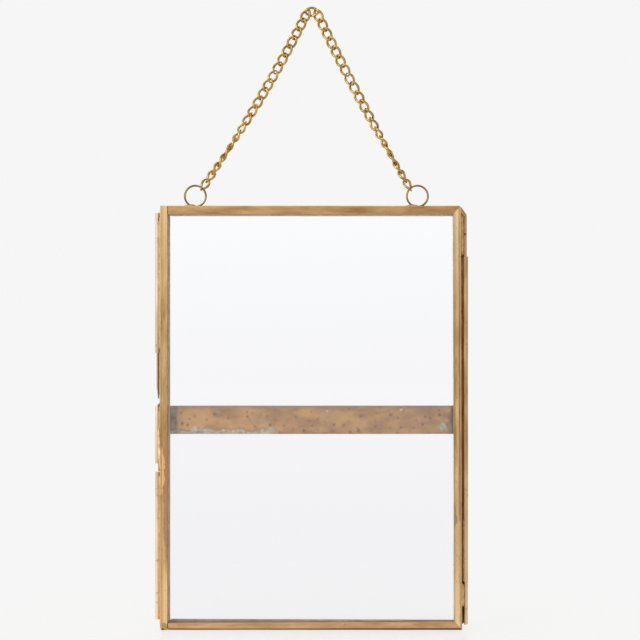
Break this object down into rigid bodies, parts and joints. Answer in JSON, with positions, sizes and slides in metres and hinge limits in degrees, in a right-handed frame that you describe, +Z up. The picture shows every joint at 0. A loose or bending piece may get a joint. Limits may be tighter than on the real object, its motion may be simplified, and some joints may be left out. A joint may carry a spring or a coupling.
{
  "type": "hanging photo frame",
  "caption": "Hanging glass photo frame: brass-edged glazed leaves that open like a book on side tubes, with a sliding catch wire, a rear strip and a curb chain on rings.",
  "frame": {"origin": "the point under the chain's top where a hook carries it", "axes": "+Z up along the hanging frame, +Y from the front towards the wall, +X to the right as seen from the front"},
  "size_m": [0.1429, 0.0092, 0.2836],
  "materials": {
    "rail_brass": "aged satin",
    "tube_brass": "aged satin",
    "strip_brass": "dull, tinned ends",
    "chain_brass": "polished",
    "clear_glass": "clear"
  },
  "bodies": {
    "chain_top": {"link_15": "chain_brass", "link_16": "chain_brass", "link_17": "chain_brass", "link_18": "chain_brass", "link_19": "chain_brass", "link_20": "chain_brass", "link_21": "chain_brass", "link_22": "chain_brass", "link_23": "chain_brass", "link_24": "chain_brass", "link_25": "chain_brass", "link_26": "chain_brass", "link_27": "chain_brass", "link_28": "chain_brass", "link_29": "chain_brass"},
    "chain_middle": {"link_08": "chain_brass", "link_09": "chain_brass", "link_10": "chain_brass", "link_11": "chain_brass", "link_12": "chain_brass", "link_13": "chain_brass", "link_14": "chain_brass", "link_30": "chain_brass", "link_31": "chain_brass", "link_32": "chain_brass", "link_33": "chain_brass", "link_34": "chain_brass", "link_35": "chain_brass", "link_36": "chain_brass"},
    "chain_lower": {"link_01": "chain_brass", "link_02": "chain_brass", "link_03": "chain_brass", "link_04": "chain_brass", "link_05": "chain_brass", "link_06": "chain_brass", "link_07": "chain_brass", "link_37": "chain_brass", "link_38": "chain_brass", "link_39": "chain_brass", "link_40": "chain_brass", "link_41": "chain_brass", "link_42": "chain_brass"},
    "back_leaf": {"back_rim": "rail_brass", "back_side_rail": "rail_brass", "back_pane": "clear_glass", "back_hinge_knuckle": "tube_brass", "back_catch_tube_top": "tube_brass", "back_catch_tube_bottom": "tube_brass", "cross_strip": "strip_brass", "ring_left": "chain_brass", "ring_right": "chain_brass", "hinge_pin": "tube_brass"},
    "front_leaf": {"front_rim": "rail_brass", "front_side_rail": "rail_brass", "front_pane": "clear_glass", "front_hinge_knuckle_top": "tube_brass", "front_hinge_knuckle_bottom": "tube_brass", "front_catch_knuckle": "tube_brass"},
    "catch_pin": {"catch_pin": "tube_brass"}
  },
  "joints": [
    {"name": "chain_fold_upper", "type": "hinge", "parent": "chain_top", "child": "chain_middle", "pos_m": [-0.00031, 0, -0.02571], "axis": [0.9994, 0, -0.0354], "range_deg": [-35, 35]},
    {"name": "chain_fold_lower", "type": "hinge", "parent": "chain_middle", "child": "chain_lower", "pos_m": [-0.00082, 0, -0.05345], "axis": [0.9992, 0, -0.0397], "range_deg": [-35, 35]},
    {"name": "frame_swing", "type": "hinge", "parent": "chain_lower", "child": "back_leaf", "pos_m": [-0.00276, 0, -0.07867], "axis": [1, 0, -0.0035], "range_deg": [-25, 25]},
    {"name": "front_leaf_hinge", "type": "hinge", "parent": "back_leaf", "child": "front_leaf", "pos_m": [0.06979, -0.0009, -0.18336], "axis": [0, 0, 1], "range_deg": [0, 180]},
    {"name": "catch_pin_slide", "type": "slide", "parent": "back_leaf", "child": "catch_pin", "axis": [0, 0, -1], "range_m": [0, 0.036]}
  ]
}
